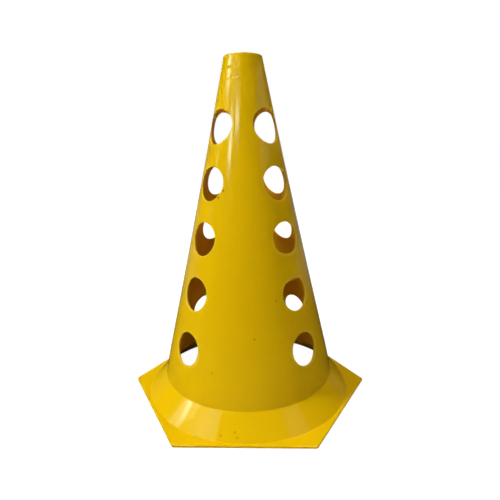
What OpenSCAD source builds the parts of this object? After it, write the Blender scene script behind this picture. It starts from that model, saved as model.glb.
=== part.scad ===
/* [Poles] */
// Diameter of the poles that the top opening and the bar holes take
pole_d = 25; // [22:0.5:28]
// Gap left all round a pole in the top opening and in the bar holes
pole_gap = 1.5; // [0.5:0.25:2]

/* [Cone] */
// Height from the ground to the top of the rim
height = 300; // [250:5:380]
// Width of the rim's flat ring round the top opening, outer edge rounding included
rim_t = 2.1; // [2:0.1:3.5]
// Radius of the rounded outer edge of the rim
rim_round = 1.2; // [0.6:0.1:1.3]
// Chamfer that leads a pole into the top opening
lead_in = 0.6; // [0.3:0.1:0.7]
// Depth of the straight part of the top opening, chamfer included
socket_depth = 10.6; // [6:0.2:14]
// Height of the thickened collar round the top opening
collar_h = 20; // [16:1:24]
// How far the side of the cone curves in at half its height
side_sag = 1; // [0.25:0.25:2]
// Thickness of the moulded wall
wall_t = 1.6; // [1.4:0.1:2.4]

/* [Bar holes] */
// Height of the lowest level of bar holes
first_level = 59; // [48:1:68]
// Depth of the highest level of bar holes below the top of the rim
last_drop = 56.8; // [48:0.4:68]

/* [Skirt and base] */
// Width of the hexagonal base across its flat sides
base_width = 195.6; // [160:0.4:240]
// Strip of the base that is left outside the skirt at the middle of each flat side
base_margin = 2.3; // [1:0.1:8]
// Thickness of the base
base_t = 2; // [1.6:0.1:2.6]
// How far the skirt spreads out between the crease and the base
skirt_spread = 15.2; // [10:0.2:22]
// Height of the crease between the cone wall and the skirt
crease_z = 19; // [14:0.5:26]
// Radius of the base's rounded corners
corner_r = 2.5; // [2:0.5:10]

/* [Hidden] */
$fn = 96;
yellow = [0.92, 0.76, 0.03];
// Straight steps in which each ring follows the curved side
side_steps = 2;
// Bars lie along X and Y, so the flat sides of the base are turned half a quarter turn from them
base_turn = 45;
overrun = 1;

hole_d = pole_d + 2 * pole_gap;
top_r = hole_d / 2 + rim_t;
foot_r = base_width / 2 - base_margin;
crease_r = foot_r - skirt_spread;
collar_z = height - collar_h;
wall_h = height - crease_z;
wall_lean = atan((crease_r - top_r) / wall_h);
skirt_lean = atan((foot_r - crease_r) / (crease_z - base_t));
// Levels as shares of the rise from the lowest to the highest, a little wider apart in the lower half
level_shares = [0, 0.254, 0.504, 0.75, 1];
level_z = [for (share = level_shares) first_level + share * (height - last_drop - first_level)];
ring_z = [crease_z, for (i = [0 : 3]) (level_z[i] + level_z[i + 1]) / 2, collar_z];

// Outer radius of the wall at height z: a straight taper drawn in by a shallow parabola
function up(z) = (z - crease_z) / wall_h;
function outer_r(z) = crease_r + (top_r - crease_r) * up(z) - 4 * side_sag * up(z) * (1 - up(z));
// Inner radius, one wall thickness behind the leaning outer face
function inner_r(z) = outer_r(z) - wall_t / cos(wall_lean);
// Radii of the skirt's outer and inner faces, the inner one meeting the cone wall's inner face
function skirt_r(z) = crease_r + (crease_z - z) * tan(skirt_lean);
function skirt_inner_r(z) = skirt_r(z) - wall_t / cos(skirt_lean);
function wall_inner_line(z) = crease_r + (crease_z - z) * tan(wall_lean) - wall_t / cos(wall_lean);

inner_crease_drop = (wall_t / cos(skirt_lean) - wall_t / cos(wall_lean)) / (tan(skirt_lean) - tan(wall_lean));
inner_crease_z = crease_z - inner_crease_drop;

// Heights at which the side is drawn between two levels
function rows(z0, z1) = [for (i = [0 : side_steps]) z0 + (z1 - z0) * i / side_steps];

// Closed band of the cone wall between two heights
module wall_band(z0, z1) {
    outer = [for (z = rows(z0, z1)) [outer_r(z), z]];
    inner = [for (z = rows(z1, z0)) [inner_r(z), z]];
    rotate_extrude() polygon(concat(outer, inner));
}

// Level bars along X and along Y at one height, as the cutters of four holes
module bar_cutters(z) {
    reach = 2 * outer_r(z) + 4 * hole_d;
    for (turn = [0, 90])
        translate([0, 0, z]) rotate([0, 90, turn]) cylinder(d = hole_d, h = reach, center = true);
}

// One level of the wall, with its four bar holes
module hole_ring(i) {
    color(yellow)
    difference() {
        wall_band(ring_z[i], ring_z[i + 1]);
        bar_cutters(level_z[i]);
    }
}

// Thickened top with the straight opening for an upright pole and a rounded outer edge
module top_collar() {
    lean = atan((outer_r(collar_z) - top_r) / collar_h);
    edge_mid = [top_r + rim_round * tan(lean) - rim_round / cos(lean), height - rim_round];
    color(yellow)
    rotate_extrude() {
        polygon([
            [outer_r(collar_z), collar_z],
            edge_mid + rim_round * [cos(lean), sin(lean)],
            edge_mid + [0, rim_round],
            [hole_d / 2 + lead_in, height],
            [hole_d / 2, height - lead_in],
            [hole_d / 2, height - socket_depth],
            [inner_r(collar_z), collar_z]
        ]);
        intersection() {
            translate(edge_mid) circle(rim_round);
            translate(edge_mid) square(rim_round + overrun);
        }
    }
}

// Splayed foot of the cone, between the crease and the top face of the base
module flared_skirt() {
    color(yellow)
    rotate_extrude() polygon([
        [crease_r, crease_z],
        [foot_r, base_t],
        [skirt_inner_r(base_t), base_t],
        [skirt_inner_r(inner_crease_z), inner_crease_z],
        [wall_inner_line(crease_z), crease_z]
    ]);
}

// Outline of the base: a hexagon with a round at each corner, as three bands that run from flat
// side to flat side and a circle in each corner between them
module base_outline() {
    corner_reach = (base_width / 2 - corner_r) / cos(30);
    for (turn = [30, 90, 150])
        rotate(base_turn + turn) square([base_width, corner_reach], center = true);
    for (turn = [0 : 60 : 300])
        rotate(base_turn + turn) translate([corner_reach, 0]) circle(corner_r);
}

// Flat plate that stands on the ground, open inside the skirt
module hexagonal_base() {
    color(yellow)
    difference() {
        linear_extrude(base_t) base_outline();
        rotate_extrude() polygon([
            [0, -overrun],
            [skirt_inner_r(-overrun), -overrun],
            [skirt_inner_r(base_t + overrun), base_t + overrun],
            [0, base_t + overrun]
        ]);
    }
}

top_collar();
hole_ring(4);  // hole_ring_5
hole_ring(3);  // hole_ring_4
hole_ring(2);  // hole_ring_3
hole_ring(1);  // hole_ring_2
hole_ring(0);  // hole_ring_1
flared_skirt();
hexagonal_base();
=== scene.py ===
import math
import bmesh
import bpy
import numpy as np
from mathutils import Matrix


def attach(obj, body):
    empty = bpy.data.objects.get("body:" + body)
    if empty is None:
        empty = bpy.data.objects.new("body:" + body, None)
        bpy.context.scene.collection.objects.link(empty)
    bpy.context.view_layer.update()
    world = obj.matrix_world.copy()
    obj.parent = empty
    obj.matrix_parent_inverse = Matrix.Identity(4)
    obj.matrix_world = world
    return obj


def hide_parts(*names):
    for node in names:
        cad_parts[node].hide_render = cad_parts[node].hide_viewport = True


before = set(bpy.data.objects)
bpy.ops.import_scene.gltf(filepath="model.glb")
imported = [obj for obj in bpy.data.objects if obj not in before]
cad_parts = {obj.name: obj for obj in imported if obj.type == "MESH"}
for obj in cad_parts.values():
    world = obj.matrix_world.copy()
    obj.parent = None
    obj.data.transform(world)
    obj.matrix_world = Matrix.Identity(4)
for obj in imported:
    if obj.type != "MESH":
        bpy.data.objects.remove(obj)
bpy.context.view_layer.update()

# Cone wall: the tapered middle of the moulding, soft yellow polyethylene 1.6 mm thick, drawn in
# a little at half height. Side cores pulled out along X and Y leave its round bar holes, four on
# each of five levels, with softened lips.
MM = 0.001
HEIGHT, CREASE_Z, WALL_T = 300 * MM, 19 * MM, 1.6 * MM
TOP_R, CREASE_R, SIDE_SAG = 16.1 * MM, 80.3 * MM, 1 * MM
LEAN = math.atan((CREASE_R - TOP_R) / (HEIGHT - CREASE_Z))
TUCK, TUCK_HIGH = 0.9 * MM, 12 * MM
HOLE_R, OUTER_LIP, INNER_LIP = 14 * MM, 0.3 * MM, 0.4 * MM
HOLE_SHIFT = np.array([1, -1, 1, -1]) * MM   # holes of each side beside the axis, turning from +X
LEVELS = np.array([59, 105.787, 151.837, 197.15, 243.2]) * MM
WALL_LOW, WALL_HIGH = 27 * MM, 270 * MM
BORDERS = np.concatenate([[WALL_LOW], (LEVELS[1:] + LEVELS[:-1]) / 2, [WALL_HIGH]])
AROUND = 36        # columns of mesh in a quarter turn
UPRIGHT = 24       # rows of mesh up the side of one quarter of a level
OUTER_ROWS = 11    # rows of mesh from that quarter's border to its hole, outside
INNER_ROWS = 6     # and inside
CROWDED = 0.8      # power of the rows' spacing: below one, they lie closer near the hole
LIP_ROWS = 3       # rows of mesh within a lip's round
# Flash left in two holes: level, side, start and end round the hole, how far it stands in, how
# much it leans to its start. Its edge is blunt and ripples a little.
FLASH = (
    (1, 0, math.radians(62), math.radians(136), 2.6 * MM, 0.66),
    (2, 0, math.radians(-30), math.radians(-140), 2.1 * MM, 1),
)
BLUNT, RIPPLE, RIPPLES = 0.8, 0.1, 25


def outer_radius(z):
    """Radius of the outer face at height z: a straight taper less a shallow parabola, and less a
    tuck that is deepest at the crease and dies away upwards as an exponential."""
    u = (z - CREASE_Z) / (HEIGHT - CREASE_Z)
    tuck = TUCK * np.exp(-np.clip(z - CREASE_Z, 0, None) / TUCK_HIGH)
    return CREASE_R + (TOP_R - CREASE_R) * u - 4 * SIDE_SAG * u * (1 - u) - tuck


def on_wall(azimuth, z, depth):
    """Points at an azimuth and height, a depth square in behind the leaning outer face."""
    r = outer_radius(z) - depth / math.cos(LEAN)
    return np.stack([r * np.cos(azimuth), r * np.sin(azimuth), z + 0 * azimuth], axis=-1)


def cell_border(low, high, level):
    """Azimuths and heights once round a quarter of a level, counterclockwise from its lower right
    corner, and for each the angle round the hole that it is joined to: the border's four sides
    each take a quarter of the hole."""
    side = np.arange(UPRIGHT) / UPRIGHT
    top = np.arange(AROUND) / AROUND
    across = np.concatenate([0 * side + 1, 1 - 2 * top, 0 * side - 1, 2 * top - 1])
    up = np.concatenate([side, 0 * top + 1, 1 - side, 0 * top])
    z = low + (high - low) * up
    rise = np.where(z > level, (z - level) / (high - level), (z - level) / (level - low))
    return across * math.pi / 4, z, np.arctan2(rise, across)


def hole_cell(number, turn):
    """One quarter of one level as a grid. Rows run over the outer face from the border to the
    hole, round its outer lip, through the wall, round its inner lip, and back over the inner face
    to the border. Columns run round the hole. A lip is a quarter circle in distance from the
    hole's axis and depth below the outer face; between border and lip, azimuth and height change
    by the same share from row to row. Flash is a sine hump along part of the hole's edge."""
    level = LEVELS[number]
    azimuth, z, angle = cell_border(BORDERS[number], BORDERS[number + 1], level)
    bend = np.linspace(0, math.pi / 2, LIP_ROWS + 2)[1:-1, None]
    inner = WALL_T - INNER_LIP
    reach = np.concatenate([
        [[HOLE_R + OUTER_LIP]],
        HOLE_R + OUTER_LIP * (1 - np.sin(bend)),
        [[HOLE_R], [HOLE_R]],
        HOLE_R + INNER_LIP * (1 - np.cos(bend)),
        [[HOLE_R + INNER_LIP]],
    ])
    depth = np.concatenate([
        [[0]],
        OUTER_LIP * (1 - np.cos(bend)),
        [[OUTER_LIP], [inner]],
        inner + INNER_LIP * np.sin(bend),
        [[WALL_T]],
    ])
    for flash_level, flash_turn, start, end, stand, lean in FLASH:
        if (number, turn) == (flash_level, flash_turn):
            t = np.clip((angle[None, :] - start) / (end - start), 0, 1)
            film = np.clip(np.sin(math.pi * t ** lean), 0, 1) ** BLUNT * (1 + RIPPLE * np.sin(RIPPLES * t))
            fade = np.clip(1 - depth / WALL_T, 0, 1) * (reach < HOLE_R + OUTER_LIP)
            reach = reach - stand * film * fade
    hole_z = level + reach * np.sin(angle)
    r = outer_radius(hole_z) - depth / math.cos(LEAN)
    hole_azimuth = np.arcsin((HOLE_SHIFT[turn] + reach * np.cos(angle)) / r)
    through = on_wall(hole_azimuth, hole_z, depth)
    share = (np.arange(OUTER_ROWS) / OUTER_ROWS)[:, None] ** CROWDED
    outside = on_wall(azimuth + (hole_azimuth[0] - azimuth) * share, z + (hole_z[0] - z) * share, 0)
    share = (np.arange(INNER_ROWS) / INNER_ROWS)[::-1, None] ** CROWDED
    inside = on_wall(azimuth + (hole_azimuth[-1] - azimuth) * share, z + (hole_z[-1] - z) * share, WALL_T)
    grid = np.concatenate([outside, through, inside])
    c, s = math.cos(turn * math.pi / 2), math.sin(turn * math.pi / 2)
    return grid @ np.array([[c, s, 0], [-s, c, 0], [0, 0, 1]])


grids = [hole_cell(number, turn) for number in range(len(LEVELS)) for turn in range(4)]

# Collar and rim: the thickened top of the same moulding, with a rounded rim and a straight bore
# for an upright pole. Two faint rings run round it where the thickness inside changes.
RIM_ROUND, LEAD_IN, SOCKET_END, COLLAR_LOW = 1.2 * MM, 0.6 * MM, 289.4 * MM, 280 * MM
RINGS = ((289.3 * MM, 0.15 * MM), (280.3 * MM, 0.08 * MM))   # height and depth of each faint ring
RING_WIDE = 0.55 * MM
BORE_ROUND, COLLAR_ROUND, TAPER_ROUND = 0.25 * MM, 1 * MM, 2 * MM
COLLAR_ROWS, RIM_ARC_STEPS = 75, 6
STRAIGHT = 1e-6    # a bend of less than this, in radians, needs no arc


def rounded(points, radii, steps=5):
    """A path of (radius, height) points with an arc of the given radius at each inner corner,
    tangent to both of its legs: the arc's middle lies on the corner's bisector, and its points
    are spaced evenly in angle from one leg to the other."""
    points = np.array(points, float)
    out = [points[:1]]
    for a, p, b, radius in zip(points[:-2], points[1:-1], points[2:], radii):
        before, after = (a - p) / np.linalg.norm(a - p), (b - p) / np.linalg.norm(b - p)
        half = math.acos(float(np.clip(before @ after, -1, 1))) / 2
        if radius == 0 or math.pi / 2 - half < STRAIGHT:
            out.append(p[None])
            continue
        middle = p + (before + after) / np.linalg.norm(before + after) * radius / math.sin(half)
        start, end = p + before * radius / math.tan(half), p + after * radius / math.tan(half)
        t = np.linspace(0, 1, steps + 1)[:, None]
        full = math.pi - 2 * half
        arc = np.sin((1 - t) * full) * (start - middle) + np.sin(t * full) * (end - middle)
        out.append(middle + arc / math.sin(full))
    return np.concatenate([*out, points[-1:]])


def revolved(profile):
    """A profile of (radius, height) carried round the axis, its columns meeting the wall's."""
    turn = math.pi / 4 + np.arange(4 * AROUND) * math.pi / (2 * AROUND)
    r, z = profile[:, 0, None], profile[:, 1, None]
    return np.stack([r * np.cos(turn), r * np.sin(turn), z + 0 * turn], axis=-1)


def inner_radius(z):
    """Radius of the inner face, one wall thickness behind the outer one."""
    return outer_radius(z) - WALL_T / math.cos(LEAN)


rise = np.linspace(WALL_HIGH, HEIGHT - 2 * RIM_ROUND, COLLAR_ROWS)
groove = sum(deep * np.exp(-((rise - ring) / RING_WIDE) ** 2) for ring, deep in RINGS)
side = np.stack([outer_radius(rise) - groove, rise], axis=-1)
rim = rounded(
    [side[-1], (TOP_R, HEIGHT), (HOLE_R + LEAD_IN, HEIGHT), (HOLE_R, HEIGHT - LEAD_IN),
     (HOLE_R, SOCKET_END), (inner_radius(COLLAR_LOW), COLLAR_LOW), (inner_radius(WALL_HIGH), WALL_HIGH)],
    [RIM_ROUND, BORE_ROUND, BORE_ROUND, COLLAR_ROUND, TAPER_ROUND], RIM_ARC_STEPS)
grids.append(revolved(np.concatenate([side[:-1], rim])))

# Skirt and base: below a softened crease the wall splays out into a skirt that lands on a flat
# hexagonal plate, 2 mm thick with small round corners and open inside the skirt, so that it stands
# on the ground and stacks.
FOOT_R, BASE_T, BASE_HALF, CORNER_R = 95.5 * MM, 2 * MM, 97.8 * MM, 2.5 * MM
TUCKED_R = CREASE_R - TUCK
SPLAY = math.atan((FOOT_R - TUCKED_R) / (CREASE_Z - BASE_T))
CREASE_ROUND, FOOT_ROUND, EDGE_ROUND = 1.6 * MM, 1.4 * MM, 0.45 * MM
INNER_CREASE_ROUND, INNER_FOOT_ROUND = 1 * MM, 0.3 * MM
LEDGE = 1 * MM    # start of the plate's flats, from which the foot's rounds spring
CORNER_STEPS, SIDE_STEPS = 4, 8   # columns of mesh round half a corner, and along half a flat side
EDGE_ROWS, UNDER_ROWS, OVER_ROWS = 4, 3, 5   # rows of mesh round the plate's edge and over its flats
CREASE_ROWS = 5   # rows of mesh between the crease and the lowest level


def hexagon(inset):
    """Outline of the plate, inset from its edge: an arc at each corner and straight sides, one
    point a column, from the corner that lies between +X and +Y."""
    reach = (BASE_HALF - CORNER_R) / math.cos(math.pi / 6)
    bend = np.linspace(0, math.pi / 6, CORNER_STEPS + 1)
    arc = np.stack([reach + (CORNER_R - inset) * np.cos(bend), (CORNER_R - inset) * np.sin(bend)], axis=-1)
    t = (np.arange(1, SIDE_STEPS) / SIDE_STEPS)[:, None]
    middle = (BASE_HALF - inset) * np.array([math.cos(math.pi / 6), math.sin(math.pi / 6)])
    half = np.concatenate([arc, arc[-1] + (middle - arc[-1]) * t])
    flat_turn = math.pi / 3
    mirror = half[1:][::-1] @ np.array([[math.cos(flat_turn), math.sin(flat_turn)],
                                        [math.sin(flat_turn), -math.cos(flat_turn)]])
    sixth = np.concatenate([half, middle[None], mirror])
    turns = math.pi / 4 + np.arange(6) * math.pi / 3
    c, s = np.cos(turns)[:, None], np.sin(turns)[:, None]
    x, y = sixth.T
    return np.stack([c * x - s * y, s * x + c * y], axis=-1).reshape(-1, 2)


def flat_ring(round_edge, outline, height, steps):
    """The plate's flat from a circle of points out to an outline, evenly in between."""
    t = (np.arange(steps + 1) / steps)[:, None, None]
    xy = round_edge + (outline - round_edge) * t
    return np.concatenate([xy, height + 0 * xy[..., :1]], axis=-1)


slope = (math.tan(SPLAY), math.tan(LEAN))
behind = (WALL_T / math.cos(SPLAY), WALL_T / math.cos(LEAN))
inner_crease_z = CREASE_Z - (behind[0] - behind[1]) / (slope[0] - slope[1])
inner_skirt_r = TUCKED_R - behind[0] + slope[0] * (CREASE_Z - np.array([0, inner_crease_z]))
above = np.linspace(WALL_LOW, CREASE_Z, CREASE_ROWS + 2)[1:-1]
inner_rows = [(inner_radius(z), z) for z in (WALL_LOW, *above[:-1])]
outer_rows = [(outer_radius(z), z) for z in (*above[::-1], WALL_LOW)]
inside = rounded(
    [*inner_rows, (inner_skirt_r[1], inner_crease_z), (inner_skirt_r[0], 0), (inner_skirt_r[0] + LEDGE, 0)],
    [0] * (CREASE_ROWS - 1) + [INNER_CREASE_ROUND, INNER_FOOT_ROUND])
outside = rounded(
    [(FOOT_R + LEDGE, BASE_T), (FOOT_R, BASE_T), (TUCKED_R, CREASE_Z), *outer_rows],
    [FOOT_ROUND, CREASE_ROUND] + [0] * CREASE_ROWS)
inside, outside = revolved(inside[:-1]), revolved(outside[1:])


def plate_edge(bend):
    """A row round the lower edge of the plate: a quarter circle in inset and height."""
    height = np.full((4 * AROUND, 1), EDGE_ROUND * (1 - math.cos(bend)))
    return np.append(hexagon(EDGE_ROUND * (1 - math.sin(bend))), height, axis=1)


edge = [plate_edge(bend) for bend in np.linspace(0, math.pi / 2, EDGE_ROWS)]
top_edge = [row * [1, 1, -1] + [0, 0, BASE_T] for row in edge[::-1]]
under = flat_ring(inside[-1][:, :2], hexagon(EDGE_ROUND), 0, UNDER_ROWS)[1:-1]
over = flat_ring(outside[0][:, :2], hexagon(EDGE_ROUND), BASE_T, OVER_ROWS)[1:-1][::-1]
grids.append(np.concatenate([inside, under, edge, top_edge, over, outside]))

# The whole moulding: the zones above are one piece, shot in one go, so they are joined into one
# closed skin with no seams.
SAME_PLACE = 0.002 * MM
points, quads, first = [], [], 0
for grid in grids:
    rows, columns = grid.shape[:2]
    index = first + np.arange(rows * columns).reshape(rows, columns)
    here, there = index, np.roll(index, -1, axis=1)
    quads.append(np.stack([here[:-1], there[:-1], there[1:], here[1:]], axis=-1).reshape(-1, 4))
    points.append(grid.reshape(-1, 3))
    first += rows * columns
mesh = bpy.data.meshes.new("cone_moulding")
mesh.from_pydata(np.concatenate(points).tolist(), [], np.concatenate(quads).tolist())
skin = bmesh.new()
skin.from_mesh(mesh)
bmesh.ops.remove_doubles(skin, verts=skin.verts, dist=SAME_PLACE)
skin.to_mesh(mesh)
skin.free()
mesh.shade_smooth()
cone = bpy.data.objects.new("cone_moulding", mesh)
bpy.context.scene.collection.objects.link(cone)
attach(cone, "root")
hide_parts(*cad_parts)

# Where each point of the skin lies, for the material: on the inner side and the underside, or on
# the lip of a bar hole or the edge of the rim. The lips and the rim's edge get a paler colour: a
# painted highlight along the rounded edge, and partly wear where the gloss wears off first.
UNDERSIDE, SKIRT_LOW = 0.05 * MM, 0.1 * MM
INNER_DEPTH, RIM_CLEAR = 1.2 * MM, 2 * MM      # the inner side starts this deep, and this far below the rim
LIP_MID, LIP_WIDE, LIP_DEPTH = 0.15 * MM, 0.35 * MM, 0.8 * MM
EDGE_MID, EDGE_WIDE = 0.5 * MM, 0.9 * MM
place = np.empty((len(mesh.vertices), 3), np.float32)
mesh.vertices.foreach_get("co", place.ravel())
place = place.astype(float)
radius, height = np.hypot(place[:, 0], place[:, 1]), place[:, 2]
on_cone = outer_radius(height)
skirt = (height < CREASE_Z) & (height > SKIRT_LOW)
on_cone[skirt] = TUCKED_R + (CREASE_Z - height[skirt]) * math.tan(SPLAY)
inside = (radius < on_cone - INNER_DEPTH) & (height < HEIGHT - RIM_CLEAR) | (height < UNDERSIDE)
near_level = LEVELS[np.argmin(np.abs(height[:, None] - LEVELS), axis=1)]
turn = np.round(np.arctan2(place[:, 1], place[:, 0]) / (math.pi / 2)).astype(int) % 4
across = np.array([place[:, 1], -place[:, 0], -place[:, 1], place[:, 0]])[turn, np.arange(len(turn))]
reach = np.hypot(across - HOLE_SHIFT[turn], height - near_level)
outer_skin = (radius > on_cone - LIP_DEPTH) & (height > CREASE_Z)
# A band round each bar hole's lip, and with rim_edge round the rim's edge, where the colour is paler:
# painted highlight, and partly wear
lip = np.exp(-((reach - HOLE_R - LIP_MID) / LIP_WIDE) ** 2) * outer_skin
rim_edge = np.exp(-((radius - TOP_R + EDGE_MID) ** 2 + (height - HEIGHT + EDGE_MID) ** 2) / EDGE_WIDE ** 2)
for name, values in (("inside", inside), ("lip", np.maximum(lip, rim_edge))):
    layer = mesh.attributes.new(name, "FLOAT", "POINT")
    layer.data.foreach_set("value", values.astype(np.float32))

# Yellow polyethylene: one colour through the whole moulding, glossy from the polished mould, with
# faint flow lines down the side, a fine orange peel, dark specks of old resin, scuffs, and paler
# lips and rim edge, whose paler colour is painted highlight along the rounded edges and partly wear.
# The inner side is rougher, and its colour is deeper and redder: painted light, standing in for the
# light that reaches it through the thin wall.
# The second colour, for the inner side, is deeper and redder: painted light, standing in for light that
# comes through the thin wall
YELLOW, INNER_SIDE_PAINTED_LIGHT = (0.84, 0.52, 0.001), (0.96, 0.53, 0.002)
# The paler colour of the lips and the rim's edge is painted highlight, and partly wear
SCUFFED, LIP_HIGHLIGHT_AND_WEAR = (0.88, 0.62, 0.12), (0.95, 0.75, 0.06)
OLD_RESIN, NICK_DARK = (0.35, 0.16, 0.002), (0.06, 0.05, 0.02)
SCUFF_SHOWS, LIP_HIGHLIGHT_AND_WEAR_SHOWS, SPECK_SHOWS, NICK_SHOWS = 0.12, (0.25, 0.55), 0.5, 0.8
ROUGH, ROUGH_CLOUD, ROUGH_SCUFF, ROUGH_INSIDE, ROUGH_LIP = 0.07, 0.08, 0.25, 0.3, 0.1
ROUGH_ON_AVERAGE = 0.18
PEEL_DEEP, SWAY_DEEP = 0.006 * MM, 0.35 * MM
RING_DEEP, FLOW_DEEP, SCRATCH_DEEP = 0.006 * MM, 0.01 * MM, 0.02 * MM
# Specks and nicks of this very cone, as places on its skin in millimetres, and their radii
SPECKS = [(52.4, -41.1, 76), (56.4, -20.1, 104.4), (29.2, -67.5, 46.9), (50.6, -77.3, 5.5),
          (57.9, -69, 8.1), (61.4, -69.4, 5.2)]
NICKS = [(14.2, -37, 192.4), (10.5, -39.5, 186.7)]
SPECK_R, NICK_R = 1.4 * MM, 1.2 * MM
SPOT_CORE = 0.35   # share of a spot's radius that has its full colour
# Random specks: how many cells there are to a metre, how rare, their radius in cells, how strong
CELLS, RARE, CELL_SPECK, CELL_SHOWS = 55, 0.86, (0.018, 0.04), 0.4
RAGGED = 1.6 * MM
plastic = bpy.data.materials.new("yellow_polyethylene")
plastic.use_nodes = True
tree = plastic.node_tree
shader = tree.nodes["Principled BSDF"]
where = tree.nodes.new("ShaderNodeTexCoord").outputs["Object"]


def wire(value, socket):
    """Links an output to a socket, or writes a plain value to it."""
    if isinstance(value, bpy.types.NodeSocket):
        tree.links.new(value, socket)
    else:
        socket.default_value = value


def calc(operation, a, b=0.0, c=0.0):
    """One calculation with up to three values, named as in the Math node."""
    step = tree.nodes.new("ShaderNodeMath")
    step.operation = operation
    for value, socket in zip((a, b, c), step.inputs):
        wire(value, socket)
    return step.outputs[0]


def remap(value, low, high, to_low=0.0, to_high=1.0):
    """Eased from one range to another, and held at its ends."""
    step = tree.nodes.new("ShaderNodeMapRange")
    step.interpolation_type = "SMOOTHSTEP"
    for x, socket in zip((value, low, high, to_low, to_high), step.inputs):
        wire(x, socket)
    return step.outputs[0]


def stretched(scale, turn=(0, 0, 0)):
    """Object coordinates, turned and then scaled along each axis."""
    step = tree.nodes.new("ShaderNodeMapping")
    wire(where, step.inputs["Vector"])
    step.inputs["Rotation"].default_value = turn
    step.inputs["Scale"].default_value = scale
    return step.outputs[0]


def noise(vector, scale, detail=2.0, rough=0.5):
    """Cloudy values about one half, with so many lumps to a metre."""
    step = tree.nodes.new("ShaderNodeTexNoise")
    wire(vector, step.inputs["Vector"])
    for value, socket in ((scale, "Scale"), (detail, "Detail"), (rough, "Roughness")):
        step.inputs[socket].default_value = value
    return step.outputs["Fac"]


def blend_colour(amount, a, b, how="MIX"):
    """From the first colour to the second by an amount."""
    step = tree.nodes.new("ShaderNodeMix")
    step.data_type, step.blend_type = "RGBA", how
    wire(amount, step.inputs["Factor"])
    for value, socket in ((a, step.inputs[6]), (b, step.inputs[7])):
        wire(value if isinstance(value, bpy.types.NodeSocket) else (*value, 1), socket)
    return step.outputs[2]


def attribute(name):
    """A value stored on the skin's points."""
    step = tree.nodes.new("ShaderNodeAttribute")
    step.attribute_name = name
    return step.outputs["Fac"]


def vector_calc(operation, *values):
    """One calculation with vectors, named as in the Vector Math node."""
    step = tree.nodes.new("ShaderNodeVectorMath")
    step.operation = operation
    for value, socket in zip(values, step.inputs):
        wire(value, socket)
    return step


def near_points(points, radius, vector):
    """One at any of the points and in its core, easing to nought at the radius."""
    total = 0.0
    for point in points:
        away = vector_calc("DISTANCE", vector, [x * MM for x in point]).outputs["Value"]
        total = calc("MAXIMUM", total, remap(away, SPOT_CORE * radius, radius, 1.0, 0.0))
    return total


def ragged_place():
    """Object coordinates pushed about by noise, so that spots get ragged edges: the place plus a
    reach times the noise less one half."""
    blur = tree.nodes.new("ShaderNodeTexNoise")
    wire(where, blur.inputs["Vector"])
    blur.inputs["Scale"].default_value = 900
    pushed = vector_calc("MULTIPLY_ADD", blur.outputs["Color"], [RAGGED] * 3, where)
    return vector_calc("ADD", pushed.outputs[0], [-RAGGED / 2] * 3).outputs[0]


# Patterns, each with its lumps to a metre and how many finer layers it has: patches, clouds, flow
# lines up the side, rings round it, orange peel, a slow waviness, two sets of hairlines, and rubs
inner, lip_highlight_and_wear = attribute("inside"), attribute("lip")
broad = noise(where, 14, 3)
cloud = noise(where, 70, 4, 0.6)
flow = noise(stretched((1, 1, 0.045)), 260, 3, 0.6)
rings = noise(stretched((0.02, 0.02, 1)), 900, 2)
peel = noise(where, 700, 2)
sway = noise(stretched((1, 1, 0.5)), 30, 1)
hair_a = noise(stretched((1, 1, 0.03), (0.5, 0.2, 0.3)), 520, 2)
hair_b = noise(stretched((1, 0.03, 1), (0.4, -0.3, 0.2)), 480, 2)
patchy = remap(noise(where, 24, 3), 0.5, 0.68)
scratch = calc("MULTIPLY", calc("MAXIMUM", remap(hair_a, 0.66, 0.74), remap(hair_b, 0.67, 0.75)), patchy)
scuff = calc("MULTIPLY", remap(noise(where, 160, 4, 0.7), 0.6, 0.75), remap(noise(where, 20, 2), 0.55, 0.7))

ragged = ragged_place()
cells = tree.nodes.new("ShaderNodeTexVoronoi")
wire(ragged, cells.inputs["Vector"])
cells.inputs["Scale"].default_value = CELLS
pick = tree.nodes.new("ShaderNodeSeparateColor")
wire(cells.outputs["Color"], pick.inputs[0])
random_speck = calc("MULTIPLY", remap(cells.outputs["Distance"], *CELL_SPECK, 1.0, 0.0),
                    calc("GREATER_THAN", pick.outputs[0], RARE))
speck = calc("MAXIMUM", calc("MULTIPLY", random_speck, CELL_SHOWS),
             calc("MULTIPLY", near_points(SPECKS, SPECK_R, ragged), SPECK_SHOWS))
nick = near_points(NICKS, NICK_R, ragged)

# Its tone varies a little about one, with broad patches, clouds and flow lines
tone = 1.0
for pattern, spread in ((broad, 0.1), (cloud, 0.05), (flow, 0.05)):
    tone = calc("ADD", tone, calc("MULTIPLY_ADD", pattern, spread, -spread / 2))
shade = tree.nodes.new("ShaderNodeCombineColor")
for socket in shade.inputs[:3]:
    wire(tone, socket)
rubbed = calc("MAXIMUM", scratch, scuff)
# The inner side takes its deeper, redder colour: painted light from through the wall
colour = blend_colour(inner, YELLOW, INNER_SIDE_PAINTED_LIGHT)
colour = blend_colour(1.0, colour, shade.outputs[0], "MULTIPLY")
colour = blend_colour(calc("MULTIPLY", rubbed, SCUFF_SHOWS), colour, SCUFFED)
# Paler lips and rim edge: painted highlight, and partly wear
colour = blend_colour(calc("MULTIPLY", lip_highlight_and_wear, remap(cloud, 0.3, 0.6, *LIP_HIGHLIGHT_AND_WEAR_SHOWS)), colour, LIP_HIGHLIGHT_AND_WEAR)
colour = blend_colour(speck, colour, OLD_RESIN)
# Two nicks by a bar hole are drawn as dark spots in the colour
colour = blend_colour(calc("MULTIPLY", nick, NICK_SHOWS), colour, NICK_DARK)
shader.inputs["Base Color"].default_value = (*YELLOW, 1)
wire(colour, shader.inputs["Base Color"])

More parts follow.
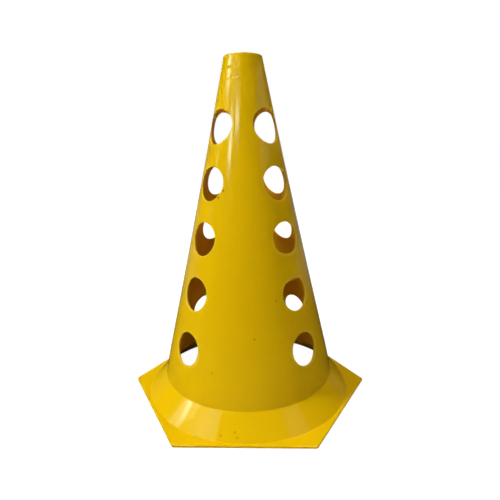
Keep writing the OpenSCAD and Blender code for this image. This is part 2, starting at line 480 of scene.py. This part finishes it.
gloss = ROUGH
for pattern, adds in ((cloud, ROUGH_CLOUD), (rubbed, ROUGH_SCUFF), (inner, ROUGH_INSIDE), (lip_highlight_and_wear, ROUGH_LIP)):
    gloss = calc("ADD", gloss, calc("MULTIPLY", pattern, adds))
shader.inputs["Roughness"].default_value = ROUGH_ON_AVERAGE
wire(gloss, shader.inputs["Roughness"])

relief = 0.0
for pattern, deep in ((peel, PEEL_DEEP), (sway, SWAY_DEEP), (rings, RING_DEEP), (flow, FLOW_DEEP),
                      (scratch, -SCRATCH_DEEP)):
    relief = calc("ADD", relief, calc("MULTIPLY", pattern, deep))
bump = tree.nodes.new("ShaderNodeBump")
bump.inputs["Strength"].default_value = 1
bump.inputs["Distance"].default_value = 1
wire(relief, bump.inputs["Height"])
wire(bump.outputs[0], shader.inputs["Normal"])
mesh.materials.append(plastic)

# Floor: a plain ground that the cone stands on. To the camera it is nearly white by itself, and
# the rest of what it shows is lit, so that the cone's soft shadow stays. In the gloss it is dark,
# but for a faint glow on the far side of the cone.
CAMERA_TURN = math.radians(47.611 - 90)   # azimuth of the camera seen from the cone's axis
FLOOR_HALF = 12                           # metres
FLOOR_TONE, FLOOR_IN_GLOSS = (0.58, 0.58, 0.58), (0.02, 0.02, 0.02)
FLOOR_GLOW, GLOW_SEEN, GLOW_BEHIND = 1.3, 0.75, 0.12


def toward_camera(vector):
    """How far a point or direction lies toward the camera's side of the axis."""
    side = [math.cos(CAMERA_TURN), math.sin(CAMERA_TURN), 0]
    return vector_calc("DOT_PRODUCT", vector, side).outputs["Value"]


floor_mesh = bpy.data.meshes.new("floor")
corners = [(x * FLOOR_HALF, y * FLOOR_HALF, 0) for x, y in ((-1, -1), (1, -1), (1, 1), (-1, 1))]
floor_mesh.from_pydata(corners, [], [(0, 1, 2, 3)])
floor = bpy.data.objects.new("floor", floor_mesh)
bpy.context.scene.collection.objects.link(floor)
ground = bpy.data.materials.new("white_ground")
ground.use_nodes = True
tree = ground.node_tree
tree.nodes.clear()
out = tree.nodes.new("ShaderNodeOutputMaterial")
mix = tree.nodes.new("ShaderNodeMixShader")
glow = tree.nodes.new("ShaderNodeEmission")
matt = tree.nodes.new("ShaderNodeBsdfDiffuse")
ray = tree.nodes.new("ShaderNodeLightPath")
seen = calc("MAXIMUM", ray.outputs["Is Camera Ray"], ray.outputs["Is Transmission Ray"])
where = tree.nodes.new("ShaderNodeTexCoord").outputs["Object"]
behind = calc("MULTIPLY", ray.outputs["Is Glossy Ray"], remap(toward_camera(where), -0.2, -0.6))
glow.inputs["Color"].default_value = (1, 1, 1, 1)
glow.inputs["Strength"].default_value = FLOOR_GLOW
wire(blend_colour(ray.outputs["Is Glossy Ray"], FLOOR_TONE, FLOOR_IN_GLOSS), matt.inputs["Color"])
wire(calc("MULTIPLY_ADD", behind, GLOW_BEHIND, calc("MULTIPLY", seen, GLOW_SEEN)), mix.inputs[0])
wire(matt.outputs[0], mix.inputs[1])
wire(glow.outputs[0], mix.inputs[2])
wire(mix.outputs[0], out.inputs[0])
floor_mesh.materials.append(ground)

# Camera: close to the cone, below its rim and tipped down. Its angles are in radians: down, round
# the line of sight, and aside from the cone's axis.
LENS, SENSOR = 29.509, 36
DISTANCE, EYE_Z = 369.61 * MM, 223.38 * MM
PITCH, ROLL, YAW = 0.23715, -0.01701, 0.00891
camera_data = bpy.data.cameras.new("camera")
camera_data.lens, camera_data.sensor_width = LENS, SENSOR
camera_data.clip_start, camera_data.clip_end = 0.01, 100
camera = bpy.data.objects.new("camera", camera_data)
bpy.context.scene.collection.objects.link(camera)
cp, sp, cr, sr = math.cos(PITCH), math.sin(PITCH), math.cos(ROLL), math.sin(ROLL)
yaw = YAW - (CAMERA_TURN + math.pi / 2)
cy, sy = math.cos(yaw), math.sin(yaw)
level = np.array([[1, 0, 0], [0, 0, -1], [0, 1, 0]]) @ np.array([[cy, -sy, 0], [sy, cy, 0], [0, 0, 1]])
tipped = np.array([[1, 0, 0], [0, cp, -sp], [0, sp, cp]]) @ level
sight = np.array([[cr, -sr, 0], [sr, cr, 0], [0, 0, 1]]) @ tipped
eye = (DISTANCE * math.cos(CAMERA_TURN), DISTANCE * math.sin(CAMERA_TURN), EYE_Z)
turned = [[sight[0, i], -sight[1, i], -sight[2, i], eye[i]] for i in range(3)]
camera.matrix_world = Matrix(turned + [[0, 0, 0, 1]])
bpy.context.scene.camera = camera

# Light: a plain studio. A soft lamp stands to the left, with weak ones beside it and above, and
# bright windows and walls, seen only as reflections, give the streaks and bands in the gloss.
SKY_LOW, SKY_HIGH, SKY_GLOSS, SKY_TINT = 0.12, 0.20, 0.005, (1, 0.82, 0.65)
BACKDROP, BACKDROP_EDGE = 0.12, 0.5       # how bright the gloss sees the backdrop behind the cone
WINDOW_AIM_Z, LAMP_AIM_Z, WINDOW_TINT = 0.15, 0.12, (0.65, 1, 0.78)
world = bpy.data.worlds.new("studio")
bpy.context.scene.world = world
world.use_nodes = True
tree = world.node_tree
tree.nodes.clear()
out = tree.nodes.new("ShaderNodeOutputWorld")
air = tree.nodes.new("ShaderNodeBackground")
ray = tree.nodes.new("ShaderNodeLightPath")
way = tree.nodes.new("ShaderNodeSeparateXYZ")
where = tree.nodes.new("ShaderNodeTexCoord").outputs["Generated"]
wire(where, way.inputs[0])
behind = calc("ADD", remap(toward_camera(where), -0.3, -0.7, 0.0, BACKDROP),
              remap(toward_camera(where), -0.85, -0.98, 0.0, BACKDROP_EDGE))
backdrop = calc("MULTIPLY_ADD", behind, remap(way.outputs[2], 0.2, 0.34, 1.0, 0.0), SKY_GLOSS)
sky = remap(way.outputs[2], 0.0, 1.0, SKY_LOW, SKY_HIGH)
dim = calc("MULTIPLY_ADD", ray.outputs["Is Glossy Ray"], calc("SUBTRACT", backdrop, sky), sky)
seen = calc("MAXIMUM", ray.outputs["Is Camera Ray"], ray.outputs["Is Transmission Ray"])
wire(calc("MULTIPLY_ADD", seen, calc("SUBTRACT", 1.0, dim), dim), air.inputs["Strength"])
wire(blend_colour(seen, SKY_TINT, (1, 1, 1)), air.inputs["Color"])
wire(air.outputs[0], out.inputs[0])


def area_lamp(name, azimuth, elevation, distance, aim_z, wide, tall, power):
    """A rectangular lamp, turned from the camera's azimuth and raised, facing the cone."""
    data = bpy.data.lights.new(name, "AREA")
    data.shape, data.size, data.size_y, data.energy = "RECTANGLE", wide, tall, power
    lamp = bpy.data.objects.new(name, data)
    bpy.context.scene.collection.objects.link(lamp)
    a, e = CAMERA_TURN + math.radians(azimuth), math.radians(elevation)
    away = np.array([math.cos(a) * math.cos(e), math.sin(a) * math.cos(e), math.sin(e)])
    across = np.array([-math.sin(a), math.cos(a), 0])
    up = np.cross(away, across)
    stand = np.array([0, 0, aim_z]) + away * distance
    turned = [[across[i], up[i], away[i], stand[i]] for i in range(3)]
    lamp.matrix_world = Matrix(turned + [[0, 0, 0, 1]])
    return lamp


def window(name, azimuth, elevation, wide, tall, radiance, away=20):
    """A bright panel that shows in the gloss alone. Its width and height are angles, and its power
    is its radiance times pi times its area."""
    across, up = (2 * away * math.tan(math.radians(angle / 2)) for angle in (wide, tall))
    power = radiance * math.pi * across * up
    lamp = area_lamp(name, azimuth, elevation, away, WINDOW_AIM_Z, across, up, power)
    lamp.data.color = WINDOW_TINT
    lamp.visible_diffuse = False


LAMPS = (   # name, azimuth, elevation, distance, width, power, colour
    ("key", -69, 47, 5, 0.7, 160, (0.98, 1, 0.82)),
    ("side", -98, 25, 3, 1, 7, (0.84, 1, 0.85)),
    ("over", 0, 80, 2, 1, 16, (1, 1, 0.85)),
)
for name, azimuth, elevation, distance, wide, power, hue in LAMPS:
    lamp = area_lamp(name, azimuth, elevation, distance, LAMP_AIM_Z, wide, wide, power)
    lamp.data.color = hue
    lamp.visible_glossy = False
WINDOWS = (   # name, azimuth, elevation, width and height in degrees, radiance, distance
    ("window_left", -80, 29.3, 12, 3.4, 12),
    ("window_left_glow", -80, 29.3, 26, 5, 1.9),
    ("window_left_high", -71, 33, 8, 4, 4.5),
    ("window_left_end", -91, 26.5, 10, 2.6, 1.6),
    ("window_left_low", -89, 17, 10, 3.6, 1.3),
    ("window_left_sill", -90, 9, 8, 3, 0.5),
    ("window_middle", -47, 24.5, 8, 6.5, 11),
    ("window_middle_glow", -47, 24.5, 17, 8.5, 1),
    ("window_front", -25.5, 28.9, 12, 2.8, 10),
    ("wall_left", -40, 33.6, 46, 6.4, 0.7),
    ("ceiling_left", -57, 43, 23, 9, 1.6),
    ("wall_right", 80, 31.8, 60, 15.5, 0.45, 0.59),
    ("ceiling_behind", 180, 62, 40, 25, 2.5),
)
for panel in WINDOWS:
    window(*panel)

bpy.context.scene.view_settings.view_transform = "Standard"
